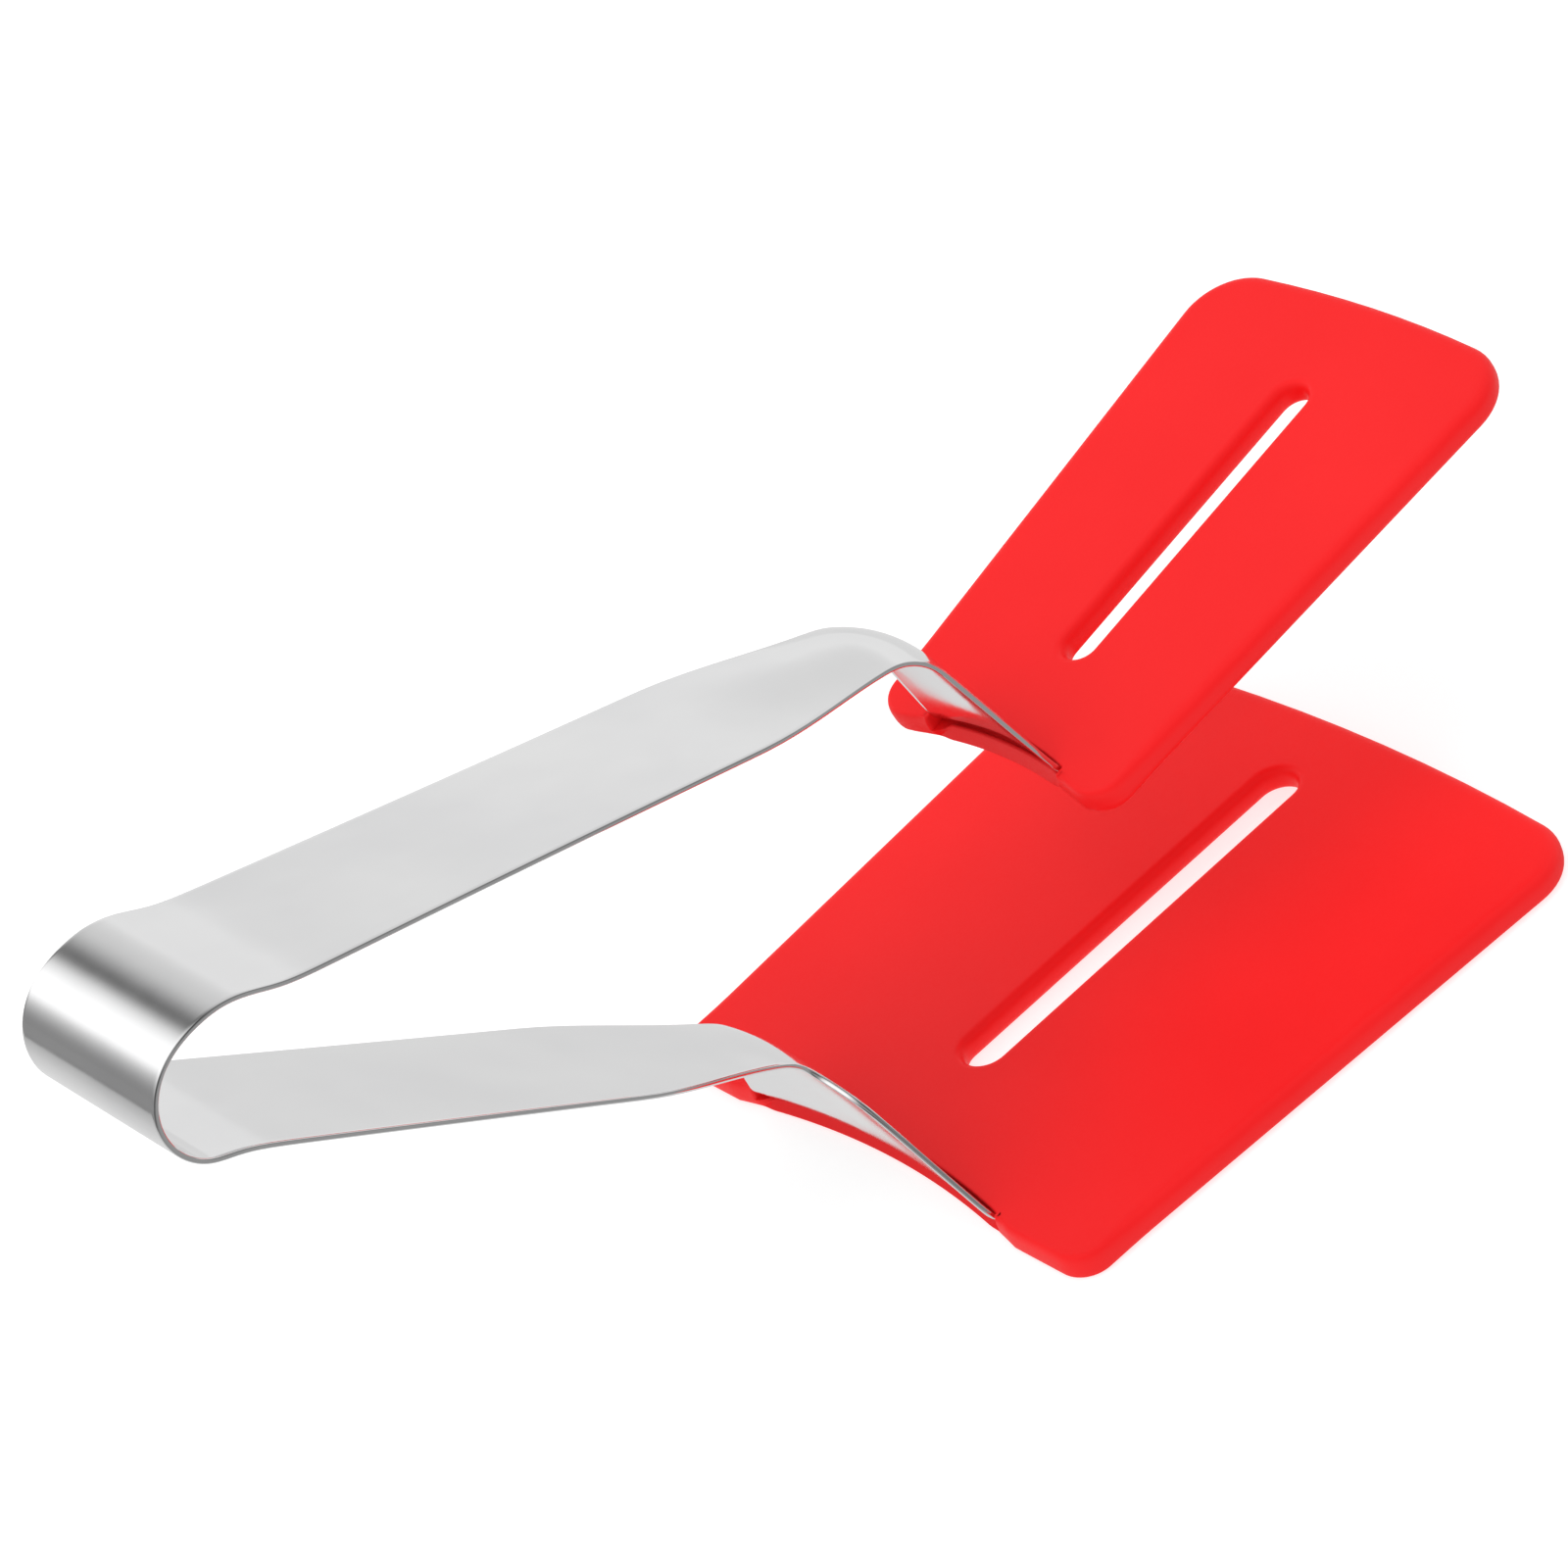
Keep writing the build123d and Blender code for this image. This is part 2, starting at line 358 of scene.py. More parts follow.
def strip_path():
    """Stations of the whole strip, from the upper blade's tip to the lower blade's tip."""
    above, tangent = half_strip(upper)
    below, tangent = half_strip(lower)
    bow = []
    for a in np.radians(np.linspace(tangent, 360 - tangent, 200)):
        bow.append((bow_radius * cos(a), bow_radius * sin(a), arm_half_width(0), 0, 0, 0))
    values = np.concatenate((above, bow, below[::-1]))

    steps = np.linalg.norm(np.diff(values[:, :2], axis=0), axis=1)
    run = np.concatenate(([0], np.cumsum(steps)))
    spacing = 0.25
    even = np.arange(0, run[-1], spacing)
    smooth = [softened(np.interp(even, run, column), spacing) for column in values.T]
    x, z, width = smooth[:3]
    height, place, reach = hump
    z += height * np.exp(-((x - place) / reach) ** 2) * (z > 0)
    depth, place, reach = sag
    z -= depth * np.exp(-(np.maximum(x - place, 0) / reach) ** 2)
    heading = np.unwrap(np.arctan2(np.gradient(z), np.gradient(x)))
    bend = np.abs(np.gradient(heading, even))
    flare = np.abs(np.gradient(width, even))
    # rings per mm: one every 3 mm, one every 4 degrees of a bend, more where the strip
    # changes its width and at the blades' rounded ends
    ends = np.minimum(even, even[-1] - even)
    density = 1 / 3.0 + bend / radians(4) + 0.5 * flare + 2.2 * np.exp(-(ends / 5) ** 2)
    count = np.concatenate(([0], np.cumsum(density[1:] * spacing)))
    at = np.interp(np.linspace(0, count[-1], int(count[-1])), count, even)
    return [np.interp(at, even, v) for v in (*smooth, heading)] + [at, even[-1] - at]


def corner_cut(run, radius):
    """How much a rounded corner narrows the strip near its end."""
    short = np.clip(radius - run, 0, radius)
    return radius - np.sqrt(radius ** 2 - short ** 2)


def section(half, rounding=edge_round, columns=16):
    """Y and height of the strip's closed cross-section, and how many points its top has."""
    thick = strip_t / 2
    flat = np.linspace(-1, 1, columns) * (half - rounding - edge_strip)
    flat = np.concatenate(([-(half - rounding)], flat, [half - rounding]))
    angles = np.linspace(90, -90, 9)[1:-1]
    edge_y = half - rounding + rounding * np.cos(np.radians(angles))
    edge_z = thick * np.sin(np.radians(angles))
    y = np.concatenate((flat, edge_y, flat[::-1], -edge_y[::-1]))
    z = np.concatenate((np.full(len(flat), thick), edge_z, np.full(len(flat), -thick),
                        edge_z[::-1]))
    return y, z, len(flat)


def make_strip():
    """The whole strip as one swept mesh, with a slot cut through each blade."""
    x, z, width, dish, pull_x, pull_z, heading, from_start, from_end = strip_path()
    width = width - corner_cut(from_start, blade_corner) - corner_cut(from_end, blade_corner)
    rings = []
    for k in range(len(x)):
        y, height, top = section(width[k])
        mouth_half = (upper if from_start[k] < from_end[k] else lower)["mouth"] / 2
        bulge = dish[k] * (1 - (y / width[k]) ** 2)
        off = height + bulge
        swept = np.minimum((y / min(width[k], mouth_half)) ** 2, 1)
        rings.append(np.stack((x[k] + off * sin(heading[k]) - pull_x[k] * swept, y,
                               z[k] - off * cos(heading[k]) - pull_z[k] * swept), axis=-1))
    rings = to_row(np.array(rings))
    count, ring = rings.shape[:2]
    edge = ring // 2 - top
    faces = sheet_faces(0, count, ring, closed=True)
    for first in (0, (count - 1) * ring):       # close both ends
        for j in range(top - 1):
            mate = top + edge + (top - 1 - j)
            faces.append((first + j, first + j + 1, first + mate - 1, first + mate))
        faces.append(tuple(range(first + top - 1, first + top + edge + 1)))
        faces.append((*range(first + 2 * top + edge - 1, first + ring), first))
    mesh = bpy.data.meshes.new("steel_strip")
    mesh.from_pydata([tuple(p) for p in (rings * MM).reshape(-1, 3)], [], faces)
    strip = add_object("steel_strip", mesh)
    for jaw in (upper, lower):
        cut_slot(strip, jaw)
    finish_mesh(strip.data)
    return strip


def slot_loop(jaw, margin, steps=24):
    """Plan of a slot with round ends, grown by a margin, in the jaw's frame."""
    start, end, slot_width = jaw["slot"]
    radius = slot_width / 2 + margin
    centres = (start + slot_width / 2, end - slot_width / 2)
    right = np.linspace(-pi / 2, pi / 2, steps)
    loop = [(centres[1] + radius * cos(a), radius * sin(a)) for a in right]
    loop += [(centres[0] - radius * cos(a), -radius * sin(a)) for a in right]
    return np.array(loop)


def cut_slot(strip, jaw):
    """Cuts the blade's slot with a rod of the slot's plan."""
    plan = slot_loop(jaw, slot_liner)
    levels = [at_height(plan, z) for z in (-rod_reach, rod_reach)]
    rod = welded("slot_rod", [(jaw_to_row(jaw, levels) * MM, True)],
                 [([jaw_to_row(jaw, level) * MM], [plan]) for level in levels])
    cut = strip.modifiers.new("slot", "BOOLEAN")
    cut.operation = "DIFFERENCE"
    cut.solver = "EXACT"
    cut.object = rod
    bpy.context.view_layer.update()
    result = bpy.data.meshes.new_from_object(strip.evaluated_get(
        bpy.context.evaluated_depsgraph_get()))
    strip.modifiers.clear()
    strip.data = result
    bpy.data.objects.remove(rod)


# ---- the silicone sleeves ----
def arc_samples(centre, radius, first, last, step=6):
    """Points and outward normals of an arc, in order."""
    count = max(3, int(abs(last - first) / step) + 1)
    angles = np.radians(np.linspace(first, last, count))
    normals = np.stack((np.cos(angles), np.sin(angles)), axis=-1)
    return np.asarray(centre) + radius * normals, normals


def line_samples(start, end, normal, step=2.5):
    start, end = np.asarray(start, float), np.asarray(end, float)
    count = max(2, int(np.linalg.norm(end - start) / step) + 1)
    points = start + (end - start) * np.linspace(0, 1, count)[:, None]
    return points, np.tile(normal, (count, 1))


def rear_line(jaw, y):
    """How far the hollow rear edge stands in front of the rear corners."""
    depth, half = jaw["hollow"]
    return depth * np.clip(1 - (y / half) ** 2, 0, None)


def outline(jaw, mouth):
    """The sleeve's outline from the mouth's +Y end round the tip to its -Y end."""
    length, rear, front = jaw["length"], jaw["rear"] / 2, jaw["front"] / 2
    r, rear_r = corner_radius, rear_corner
    lean = atan2(front - rear, length)
    side_normal = np.array((-sin(lean), cos(lean)))
    side = np.array((cos(lean), sin(lean)))
    rear_centre = np.array((rear_r, rear + rear_r * tan(lean) - rear_r / cos(lean)))
    arc_r = (front ** 2 + jaw["bulge"] ** 2) / (2 * jaw["bulge"])
    arc_centre = np.array((length + jaw["bulge"] - arc_r, 0.0))
    to_line = rear_centre + (rear_r - r) * side_normal - arc_centre
    reach = -to_line @ side + sqrt((to_line @ side) ** 2 - to_line @ to_line + (arc_r - r) ** 2)
    front_centre = arc_centre + to_line + reach * side
    spoke = front_centre - arc_centre
    front_angle = degrees(atan2(spoke[1], spoke[0]))
    side_angle = degrees(atan2(side_normal[1], side_normal[0]))

    parts = [line_samples((0, mouth), (0, rear_centre[1]), (-1, 0), 1.5),
             arc_samples(rear_centre, rear_r, 180, side_angle),
             line_samples(rear_centre + rear_r * side_normal, front_centre + r * side_normal,
                          side_normal),
             arc_samples(front_centre, r, side_angle, front_angle),
             arc_samples(arc_centre, arc_r, front_angle, 0, 1.2)]
    points = np.concatenate([p[:-1] for p, n in parts] + [parts[-1][0][-1:]])
    normals = np.concatenate([n[:-1] for p, n in parts] + [parts[-1][1][-1:]])
    at_rear = points[:, 0] < 0.01
    points[at_rear, 0] += rear_line(jaw, points[at_rear, 1])
    mirror = np.array((1, -1))
    points = np.concatenate((points, points[-2::-1] * mirror))
    normals = np.concatenate((normals, normals[-2::-1] * mirror))
    return points, normals


def quarter(reach, height, power, count):
    """Profile from a vertical wall to a flat face, as inset and height."""
    t = np.linspace(0, pi / 2, count)
    return reach * (1 - np.cos(t) ** (2 / power)), height * np.sin(t) ** (2 / power)


def raised(plan, inward, inset, height):
    """Rows of points from a plan, each moved inward by an inset and set at a height."""
    inset, height = np.asarray(inset, float), np.asarray(height, float)
    rows = []
    for k in range(len(plan)):
        moved = plan[k] + inset[k][:, None] * inward[k]
        rows.append(np.column_stack((moved, height[k])))
    return np.array(rows)


LOW_ROWS, WALL_ROWS, TOP_ROWS = 17, 3, 12       # below the pocket, beside it and above it


def rim_profile(reach):
    """Inset and height of the sleeve's rim in rows, from its underside to its top."""
    half = sleeve_t / 2
    least = np.arcsin(pocket_half / half)
    low = -half * np.sin(np.linspace(pi / 2, least, LOW_ROWS - 1))
    wall = np.linspace(-pocket_half, pocket_half, WALL_ROWS)
    top = half * np.sin(np.linspace(least, pi / 2, TOP_ROWS - 1))
    height = np.concatenate((low, wall[1:], top[1:]))
    share = np.clip(1 - np.abs(height / half) ** rim_power, 0, 1) ** (1 / rim_power)
    return with_rings(reach * (1 - share), height)


def with_rings(inset, height, first=True, last=True):
    """A profile with a narrow flat band at its first and last row."""
    if first:
        inset = np.insert(inset, 0, inset[0] + flat_ring)
        height = np.insert(height, 0, height[0])
    if last:
        inset = np.append(inset, inset[-1] + flat_ring)
        height = np.append(height, height[-1])
    return inset, height


def lip_profile(jaw):
    """Inset and height of the lower lip: a leaning face with rounded edges."""
    half, top, lean = sleeve_t / 2, jaw["lip_top"], jaw["lip_lean"]
    under_in, under_up = quarter(under_round, under_round, 2.0, 6)
    edge_in, edge_up = quarter(lip_round, lip_round, 2.0, 5)
    back_in, back_down = quarter(back_round, top + pocket_half, 2.0, 5)
    inset = np.concatenate((under_in[::-1], lean + edge_in, lean + lip_run - back_in[::-1]))
    height = np.concatenate((-half + under_round - under_up[::-1], top - lip_round + edge_up,
                             back_down[::-1] - pocket_half))
    return with_rings(inset, height, last=False)


def notch_profile():
    """Inset, undercut and height of the mouth's side, over the rim's wall and top rows."""
    half = sleeve_t / 2
    edge = half - upper_lip_round
    rise = np.linspace(pocket_half, edge, TOP_ROWS - 5)[1:]
    round_in, round_up = quarter(upper_lip_round, upper_lip_round, 2.0, 5)
    height = np.concatenate((np.linspace(-pocket_half, pocket_half, WALL_ROWS), rise,
                             edge + round_up[1:], [half]))
    inset = np.concatenate((np.zeros(WALL_ROWS + len(rise)), round_in[1:],
                            [round_in[-1] + flat_ring]))
    share = (height - pocket_half) / (half - undercut_top - pocket_half)
    under = lip_undercut * np.clip(1 - share, 0, 1) ** 2
    under[:WALL_ROWS - 1] = 0
    return inset, under, height


def lip_line(jaw, y):
    """Distance from the rear edge to the upper lip, which follows the foot's line."""
    foot = jaw["foot"] + jaw["step"]
    return foot + upper_lip_gap - jaw["sweep"] * (2 * y / jaw["mouth"]) ** 2


def notch_plan(jaw, wall):
    """The mouth's side and front edge from +Y to -Y, with the way into the silicone."""
    r = mouth_corner
    mouth = wall + r
    angles = np.radians(np.linspace(180, 270, 7))
    spokes = np.stack((np.cos(angles), np.sin(angles)), axis=-1)
    start = r + rear_line(jaw, mouth)
    corner = np.array((start, mouth)) + r * spokes
    side, into_side = line_samples((start, wall), (lip_line(jaw, wall), wall), (0, 1), 0.4)
    y = wall * np.cos(np.linspace(0, pi / 2, 24))
    front = np.column_stack((lip_line(jaw, y), y))
    lean = 8 * jaw["sweep"] * y / jaw["mouth"] ** 2
    into_front = np.column_stack((np.ones(len(y)), lean)) / np.sqrt(1 + lean ** 2)[:, None]
    into_side[-1] = (0.7, 1)        # the corner shared by the side and the front
    points = np.concatenate((corner[:-1], side, front[1:]))
    inward = np.concatenate((-spokes[:-1], into_side, into_front[1:]))
    rounding = np.linspace(0, 1, len(spokes))[:-1]
    share = np.concatenate((rounding, np.ones(len(side) + len(front) - 1)))
    mirror = np.array((1, -1))
    corner_at = len(corner) - 1 + len(side) - 1
    return (np.concatenate((points, points[-2::-1] * mirror)),
            np.concatenate((inward, inward[-2::-1] * mirror)),
            np.concatenate((share, share[-2::-1])), corner_at)


def upright(plan):
    """A wall that stands on a plan, from the pocket's floor to its roof."""
    levels = np.linspace(-pocket_half, pocket_half, WALL_ROWS)
    return np.stack([at_height(plan, z) for z in levels], axis=1)


def make_sleeve(jaw):
    """The silicone sleeve: rounded rim and slot, an open mouth and a pocket for the blade."""
    half = sleeve_t / 2
    wall = jaw["mouth"] / 2 + mouth_play
    mouth = wall + mouth_corner
    plan, normals = outline(jaw, mouth)

    # the rim, from the mouth's one end round to the other
    change = ease((plan[:, 0] - rim_change[0]) / rim_change[1])
    reaches = rear_rim_reach + (rim_reach - rear_rim_reach) * change
    profiles = [rim_profile(reach) for reach in reaches]
    rim = raised(plan, -normals, [p[0] for p in profiles], [p[1] for p in profiles])

    # the mouth's sides and upper lip
    u_plan, into, share, corner_at = notch_plan(jaw, wall)
    first = rim_profile(reaches[0])
    start = (first[0][LOW_ROWS - 1:], first[1][LOW_ROWS - 1:])
    inset, under, height = notch_profile()
    depth = ease((wall - np.abs(u_plan[:, 1])) / undercut_fade)
    insets = [(1 - s) * start[0] + s * (inset + d * under) for s, d in zip(share, depth)]
    heights = [(1 - s) * start[1] + s * height for s in share]
    sides = raised(u_plan, into, insets, heights)
    lip_from, lip_to = corner_at, len(u_plan) - 1 - corner_at
    left = sides[:lip_from + 1]
    front = sides[lip_from:lip_to + 1, WALL_ROWS - 1:]
    right = sides[lip_to:]

    # the lower lip
    y = mouth * np.sin(np.linspace(pi / 2, -pi / 2, 61))
    swell = ease((wall - np.abs(y)) / lip_fade)
    lip = lip_profile(jaw)
    lip_rows = [[(1 - s) * first[k][:LOW_ROWS] + s * lip[k] for s in swell] for k in (0, 1)]
    lip_plan = np.column_stack((rear_line(jaw, y), y))
    lower_lip = raised(lip_plan, np.tile((1.0, 0.0), (len(y), 1)), lip_rows[0], lip_rows[1])

    # the pocket round the blade
    rear_x = jaw["foot"] + pocket_start
    pocket = plan - (blade_inset - wall_gap) * normals
    pocket[:, 0] = np.maximum(pocket[:, 0], rear_x)
    pocket = pocket[(np.abs(pocket[:, 1]) > wall) | (pocket[:, 0] > rear_x)]
    pocket = np.concatenate(([(rear_x, wall)], pocket, [(rear_x, -wall)]))
    pocket_wall = upright(pocket)
    lip_x = lip_line(jaw, wall)
    joint = (upright([(lip_x, wall), (rear_x, wall)]), upright([(rear_x, -wall), (lip_x, -wall)]))

    # the slot
    inset, height = with_rings(*quarter(slot_reach, half, 2.4, 9), first=False)
    profile = np.column_stack((np.concatenate((inset[::-1], inset[1:])),
                               np.concatenate((-height[::-1], height[1:]))))
    slot = np.array([at_height(slot_loop(jaw, margin), z) for margin, z in profile])
    liner = upright(slot_loop(jaw, slot_liner - wall_gap)).swapaxes(0, 1)

    # flat faces
    top_loop = np.concatenate((rim[:, -1], sides[::-1, -1][1:-1]))
    bottom_loop = np.concatenate((rim[:, 0], lower_lip[::-1, 0][1:-1]))
    floor_loop = np.concatenate((pocket_wall[:, 0], right[:, 0], lower_lip[::-1, -1][1:-1],
                                 left[:, 0]))
    roof_loop = np.concatenate((pocket_wall[:, -1], front[::-1, 0]))
    fills = []
    for outer, hole in ((top_loop, slot[-1]), (bottom_loop, slot[0]),
                        (floor_loop, liner[0]), (roof_loop, liner[-1])):
        fills.append(([jaw_to_row(jaw, outer) * MM, jaw_to_row(jaw, hole) * MM],
                      [outer[:, :2], hole[:, :2]]))
    sheets = (rim, left, front, right, lower_lip, pocket_wall, *joint)
    patches = [(jaw_to_row(jaw, sheet) * MM, False) for sheet in sheets]
    patches += [(jaw_to_row(jaw, tube) * MM, True) for tube in (slot, liner)]
    return welded(jaw["name"] + "_silicone_sleeve", patches, fills)


# ---- materials ----
def new_material(name):
    material = bpy.data.materials.new(name)
    material.use_nodes = True
    nodes = material.node_tree.nodes
    return material, nodes, material.node_tree.links, nodes["Principled BSDF"]


def add_noise(nodes, links, scale, detail=3.0, stretch=(1, 1, 1)):
    """A noise in the object's own coordinates, finer along some axes if stretched."""
    place = nodes.new("ShaderNodeTexCoord")
    mapping = nodes.new("ShaderNodeMapping")
    mapping.inputs["Scale"].default_value = stretch
    noise = nodes.new("ShaderNodeTexNoise")
    noise.inputs["Scale"].default_value = scale
    noise.inputs["Detail"].default_value = detail
    links.new(place.outputs["Object"], mapping.inputs["Vector"])
    links.new(mapping.outputs["Vector"], noise.inputs["Vector"])
    return noise


def add_range(nodes, links, source, low, high, start=0.3, end=0.7, smooth=False):
    """Maps the values from start to end, such as a noise's usual ones, to low to high."""
    spread = nodes.new("ShaderNodeMapRange")
    if smooth:
        spread.interpolation_type = "SMOOTHSTEP"
    spread.inputs["From Min"].default_value = start
    spread.inputs["From Max"].default_value = end
    spread.inputs["To Min"].default_value = low
    spread.inputs["To Max"].default_value = high
    links.new(source, spread.inputs["Value"])
    return spread.outputs["Result"]


def add_ramp(nodes, links, source, stops):
    """A colour ramp from stops of a place and a colour, or a place and a grey tone."""
    node = nodes.new("ShaderNodeValToRGB")
    stop_list = node.color_ramp.elements
    for k, (place, colour) in enumerate(stops):
        stop = stop_list[k] if k < 2 else stop_list.new(place)
        stop.position = place
        stop.color = (*(colour if isinstance(colour, tuple) else (colour,) * 3), 1)
    links.new(source, node.inputs["Fac"])
    return node.outputs["Color"]


def add_bump(nodes, links, height, distance, strength, under=None):
    bump = nodes.new("ShaderNodeBump")
    bump.inputs["Distance"].default_value = distance
    bump.inputs["Strength"].default_value = strength
    links.new(height, bump.inputs["Height"])
    if under is not None:
        links.new(under, bump.inputs["Normal"])
    return bump.outputs["Normal"]


def steel_material():
    """Polished stainless steel: soft dents, fine scratches and a faint haze."""
    material, nodes, links, shader = new_material("polished_steel")
    shader.inputs["Metallic"].default_value = 1.0
    cloud = add_noise(nodes, links, 45)
    tone = add_ramp(nodes, links, cloud.outputs["Fac"],
                    ((0.35, (0.80, 0.80, 0.805)), (0.7, (0.845, 0.845, 0.845))))
    links.new(tone, shader.inputs["Base Color"])
    haze = add_noise(nodes, links, 160, 5.0)
    links.new(add_range(nodes, links, haze.outputs["Fac"], 0.09, 0.15), shader.inputs["Roughness"])
    dents = add_noise(nodes, links, 55, 2.0)
    normal = add_bump(nodes, links, dents.outputs["Fac"], 0.0006, 0.12)
    lines = add_noise(nodes, links, 600, 2.0, (0.08, 1, 0.08))
    normal = add_bump(nodes, links, lines.outputs["Fac"], 0.00002, 0.25, normal)
    links.new(normal, shader.inputs["Normal"])
    return material


def silicone_material():
    """Moulded silicone: strong red, satin, with a fine matt grain and faint waviness."""
    material, nodes, links, shader = new_material("red_silicone")
    cloud = add_noise(nodes, links, 35)
    tone = add_ramp(nodes, links, cloud.outputs["Fac"],
                    ((0.3, (0.94, 0.009, 0.011)), (0.75, (0.98, 0.012, 0.014))))
    links.new(tone, shader.inputs["Base Color"])
    shader.inputs["IOR"].default_value = 1.41
    shader.inputs["Specular IOR Level"].default_value = 0.28
    grain = add_noise(nodes, links, 2600, 2.0)
    links.new(add_range(nodes, links, grain.outputs["Fac"], 0.42, 0.52), shader.inputs["Roughness"])
    waves = add_noise(nodes, links, 60, 2.0)
    normal = add_bump(nodes, links, waves.outputs["Fac"], 0.0005, 0.12)
    normal = add_bump(nodes, links, grain.outputs["Fac"], 0.00003, 0.3, normal)
    links.new(normal, shader.inputs["Normal"])
    return material


# Painted reflection: what reflections see of the floor, grey tones by X in metres that stand in for
# shade, darker on the near side.
FLOOR_PAINTED_REFLECTION = ((-0.45, 0.29), (-0.375, 0.26), (-0.36, 0.25), (-0.325, 0.50), (-0.25, 0.60),
               (-0.205, 0.69), (-0.15, 0.77), (0.1, 0.78))
FLOOR_SPAN = 0.5         # the painted reflection tones are given from minus this to plus this
FLOOR_PAINTED_SHADE_Y = (-0.02, -0.05)     # painted shade: the floor's painted reflection darkens between these Y
FLOOR_PAINTED_SHADE_SHARE = 0.42   # share of the tones that is left beyond them, as painted shade in reflections


def floor_material():
    """Pale floor, almost as bright as the light, with painted reflection tones that only
    reflections see.
    """
    material, nodes, links, shader = new_material("pale_floor")
    shader.inputs["Base Color"].default_value = (0.45, 0.45, 0.45, 1)
    shader.inputs["Roughness"].default_value = 0.9
    shader.inputs["Specular IOR Level"].default_value = 0.0
    shader.inputs["Emission Color"].default_value = (1, 1, 1, 1)
    shader.inputs["Emission Strength"].default_value = 0.72
    place = nodes.new("ShaderNodeTexCoord")
    split = nodes.new("ShaderNodeSeparateXYZ")
    # painted reflection: an emission of grey tones, seen only by glossy rays
    painted_reflection = nodes.new("ShaderNodeEmission")
    path = nodes.new("ShaderNodeLightPath")
    mix = nodes.new("ShaderNodeMixShader")
    links.new(place.outputs["Object"], split.inputs[0])
    across = add_range(nodes, links, split.outputs["X"], 0, 1, -FLOOR_SPAN, FLOOR_SPAN)
    stops = [(x + FLOOR_SPAN, tone) for x, tone in FLOOR_PAINTED_REFLECTION]
    links.new(add_ramp(nodes, links, across, stops), painted_reflection.inputs["Color"])
    # painted shade: reflections of the floor darken on the near side
    painted_near_shade = add_range(nodes, links, split.outputs["Y"], 1.0, FLOOR_PAINTED_SHADE_SHARE, *FLOOR_PAINTED_SHADE_Y,
                     smooth=True)
    links.new(painted_near_shade, painted_reflection.inputs["Strength"])
    # glossy rays see the painted reflection, all other rays the pale floor
    links.new(path.outputs["Is Glossy Ray"], mix.inputs["Fac"])
    links.new(shader.outputs["BSDF"], mix.inputs[1])
    links.new(painted_reflection.outputs["Emission"], mix.inputs[2])
    links.new(mix.outputs["Shader"], nodes["Material Output"].inputs["Surface"])
    return material


# ---- the object ----
strip = make_strip()
strip.data.materials.append(steel_material())
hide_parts("spring_bow", "upper_arm", "lower_arm", "upper_blade", "lower_blade")
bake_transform(strip)

silicone = silicone_material()
for jaw in (upper, lower):
    sleeve = make_sleeve(jaw)
    sleeve.data.materials.append(silicone)
    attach(sleeve, jaw["name"] + "_half")
    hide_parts(jaw["name"] + "_sleeve")

# ---- the stage ----
floor_mesh = bpy.data.meshes.new("floor")
floor_mesh.from_pydata([(-4, -4, 0), (4, -4, 0), (4, 4, 0), (-4, 4, 0)], [], [(0, 1, 2, 3)])
floor = add_object("floor", floor_mesh)
floor.data.materials.append(floor_material())


def add_area(name, place, aim, size, power):
    light = bpy.data.lights.new(name, "AREA")
    light.shape = "RECTANGLE"
    light.size, light.size_y = size
    light.energy = power
    lamp = add_object(name, light)
    lamp.location = place
    lamp.rotation_euler = (Vector(aim) - Vector(place)).to_track_quat("-Z", "Y").to_euler()
    return lamp


top_light = add_area("top_light", (-0.35, -0.2, 1.1), (-0.02, 0, 0.03), (0.8, 0.8), 3.5)
top_light.visible_glossy = False


# Studio surroundings as tones by degrees about the Y axis, from the front horizon over
# the top to the rear horizon. Dark flags stand in front of and behind a bright ceiling.
SURROUNDINGS = ((0, 0.88), (12, 0.88), (24, 0.90), (30, 0.82), (37, 0.76), (44, 0.72), (51, 0.69),
                (57, 0.64), (63, 0.55), (69, 0.40), (74, 0.23), (78, 0.17), (82, 0.26), (87, 0.54),
                (92, 0.83), (97, 1.02), (103, 1.18), (110, 1.30), (134, 1.30), (140, 1.10),
                (146, 0.82), (152, 0.61), (158, 0.47), (165, 0.35), (172, 0.29), (180, 0.275))
NEAR_SIDE = (-0.1, -0.65)       # a dark flag stands beyond these Y of a direction
NEAR_SIDE_TONE = 0.25    # share of the tones that is left there
AMBIENT = 1.15           # even light for everything but reflections
AMBIENT_NEAR = 0.72      # the same from the near side


def add_math(nodes, links, operation, *sources):
    step = nodes.new("ShaderNodeMath")
    step.operation = operation
    for k, source in enumerate(sources):
        if isinstance(source, float):
            step.inputs[k].default_value = source
        else:
            links.new(source, step.inputs[k])
    return step.outputs[0]


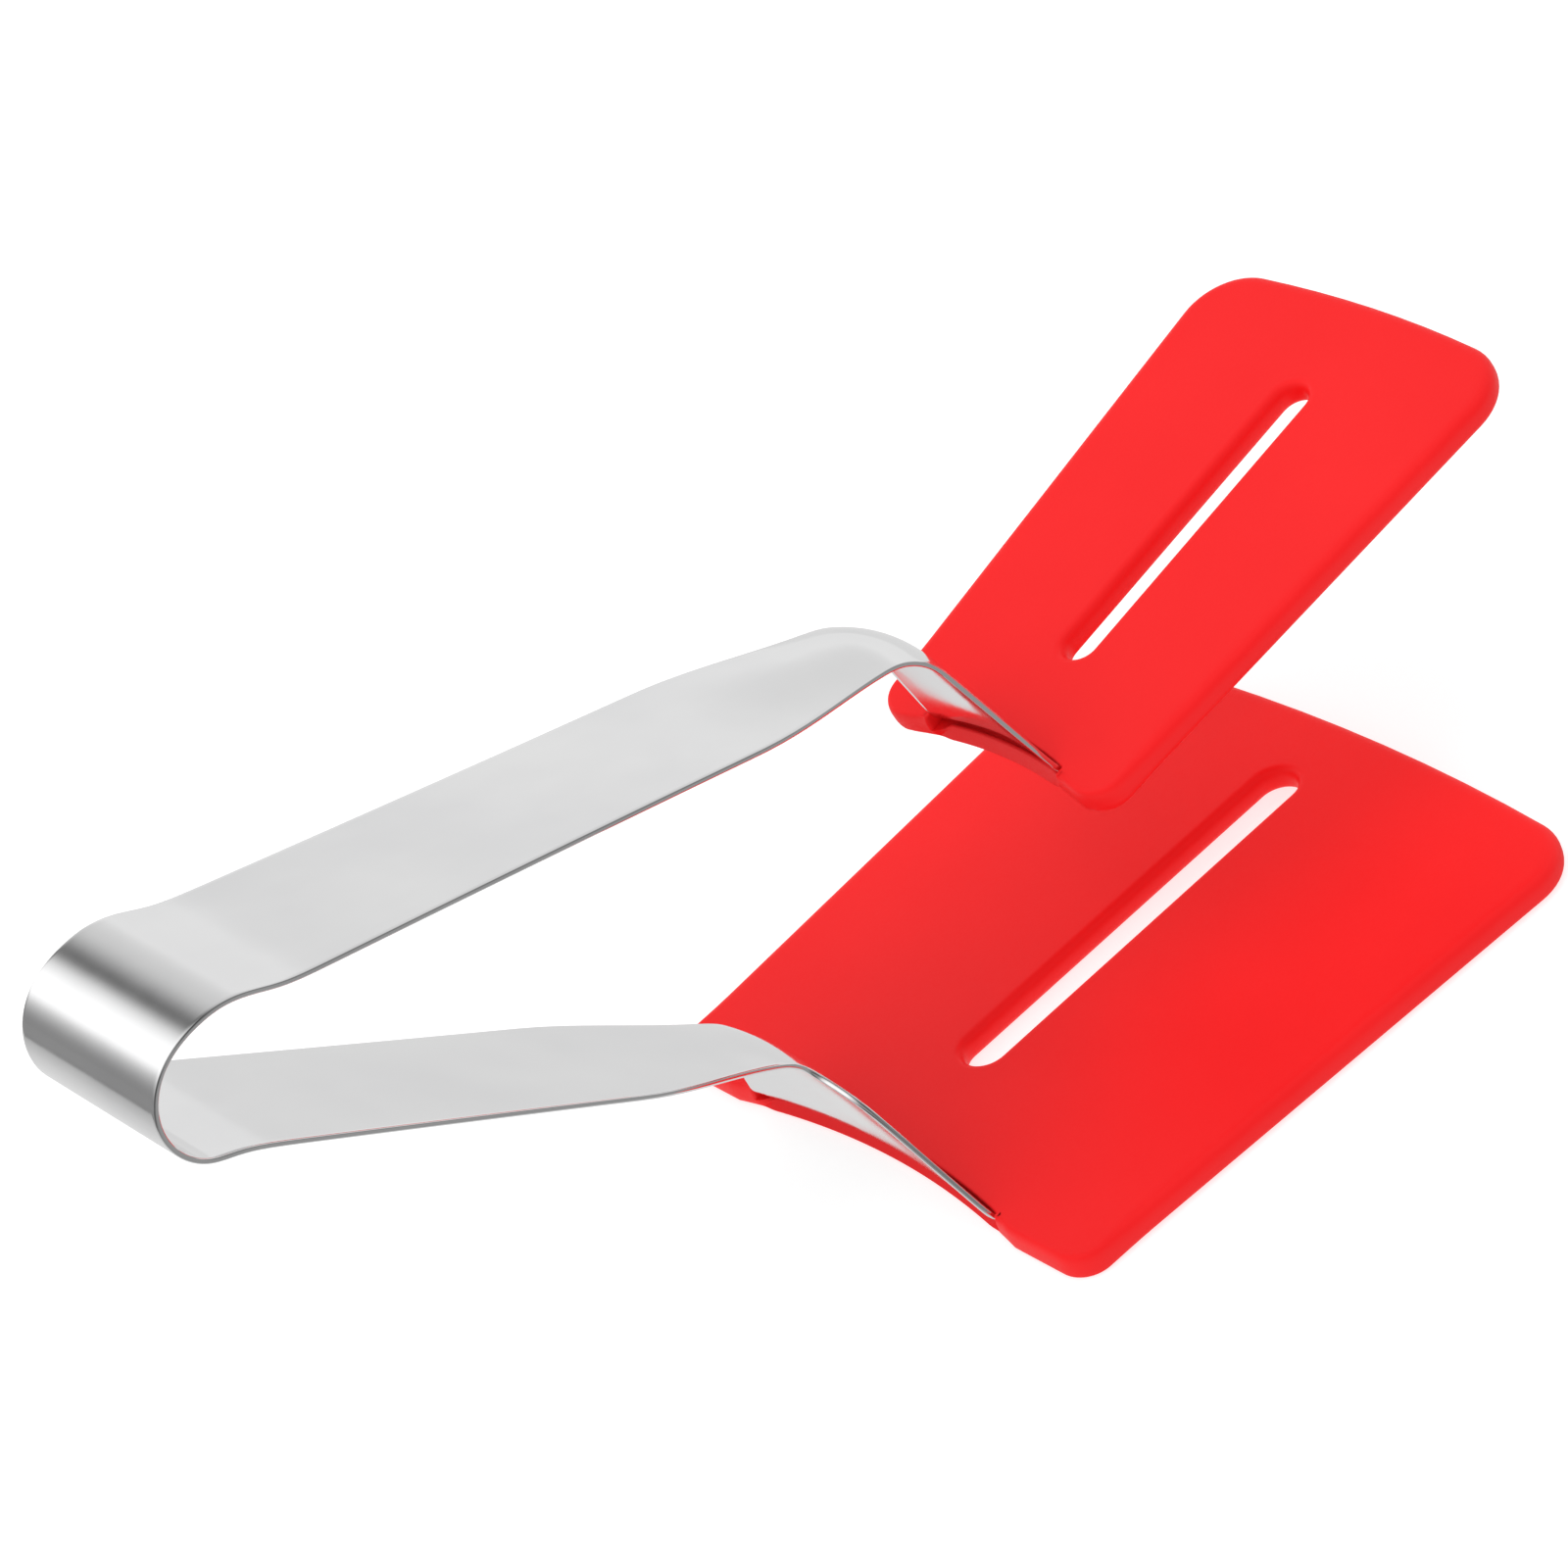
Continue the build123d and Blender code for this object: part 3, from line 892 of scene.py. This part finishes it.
def make_world():
    """Even pale light, and for reflections the tones with a flag on the near side."""
    world = bpy.data.worlds.new("studio")
    bpy.context.scene.world = world
    world.use_nodes = True
    nodes, links = world.node_tree.nodes, world.node_tree.links
    place = nodes.new("ShaderNodeTexCoord")
    split = nodes.new("ShaderNodeSeparateXYZ")
    shaded = nodes.new("ShaderNodeVectorMath")
    shaded.operation = "SCALE"
    ambient = nodes.new("ShaderNodeBackground")
    path = nodes.new("ShaderNodeLightPath")
    mix = nodes.new("ShaderNodeMixShader")
    links.new(place.outputs["Generated"], split.inputs[0])
    level = add_math(nodes, links, "ABSOLUTE", split.outputs["Z"])
    angle = add_math(nodes, links, "ARCTAN2", level, split.outputs["X"])
    half_turns = add_math(nodes, links, "DIVIDE", angle, pi)
    stops = [(degree / 180, tone) for degree, tone in SURROUNDINGS]
    links.new(add_ramp(nodes, links, half_turns, stops), shaded.inputs[0])
    flag = add_range(nodes, links, split.outputs["Y"], 1.0, NEAR_SIDE_TONE, *NEAR_SIDE,
                     smooth=True)
    links.new(flag, shaded.inputs["Scale"])
    links.new(shaded.outputs["Vector"], nodes["Background"].inputs["Color"])
    soft = add_range(nodes, links, flag, AMBIENT_NEAR, AMBIENT, NEAR_SIDE_TONE, 1.0)
    links.new(soft, ambient.inputs["Strength"])
    links.new(path.outputs["Is Glossy Ray"], mix.inputs["Fac"])
    links.new(ambient.outputs["Background"], mix.inputs[1])
    links.new(nodes["Background"].outputs["Background"], mix.inputs[2])
    links.new(mix.outputs["Shader"], nodes["World Output"].inputs["Surface"])


make_world()

# ---- the camera ----
camera_place = Vector((-0.30121, -0.54114, 0.49212))
camera_right = Vector((0.707125, -0.619295, -0.341244))
camera_up = Vector((0.609370, 0.288938, 0.738366))
camera_data = bpy.data.cameras.new("camera")
camera_data.lens = 131.94
camera_data.sensor_width = 36
camera_data.clip_start = 0.01
camera = add_object("camera", camera_data)
back = camera_right.cross(camera_up)
turn = Matrix((camera_right, camera_up, back)).transposed()
camera.matrix_world = Matrix.Translation(camera_place) @ turn.to_4x4()
bpy.context.scene.camera = camera
bpy.context.scene.view_settings.view_transform = "Standard"
